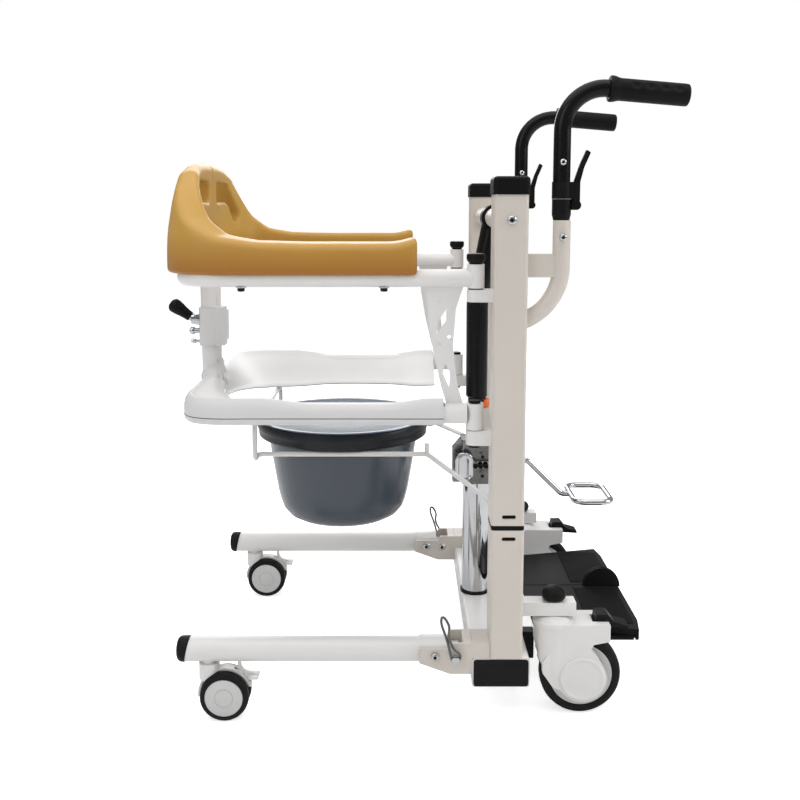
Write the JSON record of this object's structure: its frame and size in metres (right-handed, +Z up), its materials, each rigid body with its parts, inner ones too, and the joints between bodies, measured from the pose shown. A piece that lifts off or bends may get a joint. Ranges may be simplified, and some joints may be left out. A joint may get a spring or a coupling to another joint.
{
  "type": "patient lift hoist",
  "caption": "Wheeled patient transfer lift with a split seat that swings open, a pump-raised frame on two columns, folding handles and a commode pan.",
  "frame": {"origin": "floor under the centre of the overall bounding box", "axes": "+X towards the push handles and pedal, +Y to the left side, +Z up"},
  "size_m": [0.8221, 0.565, 0.9832],
  "materials": {
    "black_plastic": "fine-grained black moulding",
    "black_rubber": "soft black grip",
    "caster_grey": "pale grey caster shell",
    "chrome": "bright plated",
    "grey_plastic": "dark blue-grey moulding",
    "head_grey": "cast pump head, light grey",
    "lid_grey": "blue-grey lid",
    "mast_alloy": "drawn alloy tube",
    "orange_clip": "orange moulding",
    "push_black": "black powder coat",
    "tan_pad": "soft moulded tan skin with a low gloss",
    "tyre_dark": "dark rolling tread",
    "white_paint": "satin powder coat, off-white",
    "white_plastic": "smooth gloss white moulding"
  },
  "bodies": {
    "base": {"base_beam": "white_paint", "base_end_caps": "black_plastic", "lower_columns": "white_paint", "base_bushes": "black_plastic", "inner_masts": "mast_alloy", "leg_brackets": "white_paint", "base_bolts": "chrome", "caster_arms": "white_paint", "footplate_brackets": "black_plastic", "pump_body": "chrome", "pump_head": "head_grey"},
    "lift_frame": {"upper_columns": "white_paint", "column_fittings": "black_plastic", "cross_shaft": "white_paint", "lift_bolts": "chrome", "push_tube": "push_black", "pump_rod": "chrome", "release_clip": "orange_clip", "handle_supports": "white_paint", "hinge_brackets": "white_paint", "hinge_pins": "black_plastic", "pan_carrier": "white_paint", "handle_sockets": "black_plastic"},
    "pedal": {"pump_pedal": "chrome"},
    "seat_half_right": {"seat_frame_right": "white_paint", "seat_panel_right": "white_plastic", "arm_back_right": "tan_pad", "latch_housing": "white_plastic"},
    "seat_half_left": {"seat_frame_left": "white_paint", "seat_panel_left": "white_plastic", "arm_back_left": "tan_pad"},
    "back_latch": {"latch_lever": "black_rubber"},
    "pan": {"commode_pan": "grey_plastic"},
    "lid": {"pan_lid": "lid_grey"},
    "handle_right": {"push_handle_right": "push_black", "handle_grip_right": "black_rubber", "handle_knuckle_right": "black_plastic"},
    "release_lever_right_body": {"release_lever_right": "black_rubber"},
    "leg_right_body": {"leg_right": "white_paint"},
    "leg_pin_right_body": {"leg_pin_right": "chrome"},
    "small_caster_right": {"small_caster_body_right": "caster_grey"},
    "small_wheels_right": {"small_caster_wheel_right": "tyre_dark"},
    "small_brake_right": {"small_caster_brake_right": "caster_grey"},
    "big_caster_right": {"big_caster_body_right": "caster_grey"},
    "big_wheel_right": {"big_caster_wheel_right": "tyre_dark"},
    "big_brake_right": {"big_caster_brake_right": "black_plastic"},
    "footplate_right_body": {"footplate_right": "black_plastic"},
    "handle_left": {"push_handle_left": "push_black", "handle_grip_left": "black_rubber", "handle_knuckle_left": "black_plastic"},
    "release_lever_left_body": {"release_lever_left": "black_rubber"},
    "leg_left_body": {"leg_left": "white_paint"},
    "leg_pin_left_body": {"leg_pin_left": "chrome"},
    "small_caster_left": {"small_caster_body_left": "caster_grey"},
    "small_wheels_left": {"small_caster_wheel_left": "tyre_dark"},
    "small_brake_left": {"small_caster_brake_left": "caster_grey"},
    "big_caster_left": {"big_caster_body_left": "caster_grey"},
    "big_wheel_left": {"big_caster_wheel_left": "tyre_dark"},
    "big_brake_left": {"big_caster_brake_left": "black_plastic"},
    "footplate_left_body": {"footplate_left": "black_plastic"}
  },
  "joints": [
    {"name": "lift", "type": "slide", "parent": "base", "child": "lift_frame", "axis": [0, 0, 1], "range_m": [0, 0.2]},
    {"name": "pedal_press", "type": "hinge", "parent": "base", "child": "pedal", "pos_m": [0.115, 0, 0.345], "axis": [0, 1, 0], "range_deg": [0, 25], "stiffness_Nm_per_rad": 12, "springref_deg": -34.38},
    {"name": "seat_half_right_swing", "type": "hinge", "parent": "lift_frame", "child": "seat_half_right", "pos_m": [0.1004, -0.244, 0], "axis": [0, 0, 1], "range_deg": [0, 90]},
    {"name": "seat_half_left_swing", "type": "hinge", "parent": "lift_frame", "child": "seat_half_left", "pos_m": [0.1004, 0.244, 0], "axis": [0, 0, -1], "range_deg": [0, 90]},
    {"name": "latch_lift", "type": "hinge", "parent": "seat_half_right", "child": "back_latch", "pos_m": [-0.364, -0.0225, 0.6], "axis": [0, 1, 0], "range_deg": [0, 30]},
    {"name": "pan_slide", "type": "slide", "parent": "lift_frame", "child": "pan", "axis": [-1, 0, 0], "range_m": [0, 0.3]},
    {"name": "lid_lift", "type": "slide", "parent": "pan", "child": "lid", "axis": [0, 0, 1], "range_m": [0, 0.01]},
    {"name": "handle_right_fold", "type": "hinge", "parent": "lift_frame", "child": "handle_right", "pos_m": [0.2466, -0.244, 0.795], "axis": [0, 1, 0], "range_deg": [0, 90]},
    {"name": "release_lever_right_squeeze", "type": "hinge", "parent": "handle_right", "child": "release_lever_right_body", "pos_m": [0.247, -0.244, 0.822], "axis": [0, -1, 0], "range_deg": [0, 15], "stiffness_Nm_per_rad": 0.1, "springref_deg": -8.59},
    {"name": "leg_right_fold", "type": "hinge", "parent": "base", "child": "leg_right_body", "pos_m": [0.0412, -0.244, 0.1085], "axis": [0, 1, 0], "range_deg": [0, 50]},
    {"name": "leg_pin_right_pull", "type": "slide", "parent": "base", "child": "leg_pin_right_body", "axis": [0, -1, 0], "range_m": [0, 0.03]},
    {"name": "small_caster_right_swivel", "type": "hinge", "parent": "leg_right_body", "child": "small_caster_right", "pos_m": [-0.31, -0.244, 0.08], "axis": [0, 0, 1], "continuous": true},
    {"name": "small_wheels_right_spin", "type": "hinge", "parent": "small_caster_right", "child": "small_wheels_right", "pos_m": [-0.285, -0.244, 0.038], "axis": [0, 1, 0], "continuous": true},
    {"name": "small_brake_right_press", "type": "hinge", "parent": "small_caster_right", "child": "small_brake_right", "pos_m": [-0.262, -0.244, 0.072], "axis": [0, 1, 0], "range_deg": [0, 7]},
    {"name": "big_caster_right_swivel", "type": "hinge", "parent": "base", "child": "big_caster_right", "pos_m": [0.2285, -0.224, 0.17], "axis": [0, 0, -1], "range_deg": [-5, 90]},
    {"name": "big_wheel_right_spin", "type": "hinge", "parent": "big_caster_right", "child": "big_wheel_right", "pos_m": [0.271, -0.224, 0.0635], "axis": [0, 1, 0], "continuous": true},
    {"name": "big_brake_right_press", "type": "hinge", "parent": "big_caster_right", "child": "big_brake_right", "pos_m": [0.303, -0.224, 0.146], "axis": [0, 1, 0], "range_deg": [0, 12]},
    {"name": "footplate_right_fold", "type": "hinge", "parent": "base", "child": "footplate_right_body", "pos_m": [0.2, -0.165, 0.094], "axis": [1, 0, 0], "range_deg": [0, 90]},
    {"name": "handle_left_fold", "type": "hinge", "parent": "lift_frame", "child": "handle_left", "pos_m": [0.2466, 0.244, 0.795], "axis": [0, 1, 0], "range_deg": [0, 90]},
    {"name": "release_lever_left_squeeze", "type": "hinge", "parent": "handle_left", "child": "release_lever_left_body", "pos_m": [0.247, 0.244, 0.822], "axis": [0, -1, 0], "range_deg": [0, 15], "stiffness_Nm_per_rad": 0.1, "springref_deg": -8.59},
    {"name": "leg_left_fold", "type": "hinge", "parent": "base", "child": "leg_left_body", "pos_m": [0.0412, 0.244, 0.1085], "axis": [0, 1, 0], "range_deg": [0, 50]},
    {"name": "leg_pin_left_pull", "type": "slide", "parent": "base", "child": "leg_pin_left_body", "axis": [0, 1, 0], "range_m": [0, 0.03]},
    {"name": "small_caster_left_swivel", "type": "hinge", "parent": "leg_left_body", "child": "small_caster_left", "pos_m": [-0.31, 0.244, 0.08], "axis": [0, 0, 1], "continuous": true},
    {"name": "small_wheels_left_spin", "type": "hinge", "parent": "small_caster_left", "child": "small_wheels_left", "pos_m": [-0.285, 0.244, 0.038], "axis": [0, 1, 0], "continuous": true},
    {"name": "small_brake_left_press", "type": "hinge", "parent": "small_caster_left", "child": "small_brake_left", "pos_m": [-0.262, 0.244, 0.072], "axis": [0, 1, 0], "range_deg": [0, 7]},
    {"name": "big_caster_left_swivel", "type": "hinge", "parent": "base", "child": "big_caster_left", "pos_m": [0.2285, 0.224, 0.17], "axis": [0, 0, 1], "range_deg": [-5, 90]},
    {"name": "big_wheel_left_spin", "type": "hinge", "parent": "big_caster_left", "child": "big_wheel_left", "pos_m": [0.271, 0.224, 0.0635], "axis": [0, 1, 0], "continuous": true},
    {"name": "big_brake_left_press", "type": "hinge", "parent": "big_caster_left", "child": "big_brake_left", "pos_m": [0.303, 0.224, 0.146], "axis": [0, 1, 0], "range_deg": [0, 12]},
    {"name": "footplate_left_fold", "type": "hinge", "parent": "base", "child": "footplate_left_body", "pos_m": [0.2, 0.165, 0.094], "axis": [-1, 0, 0], "range_deg": [0, 90]}
  ]
}
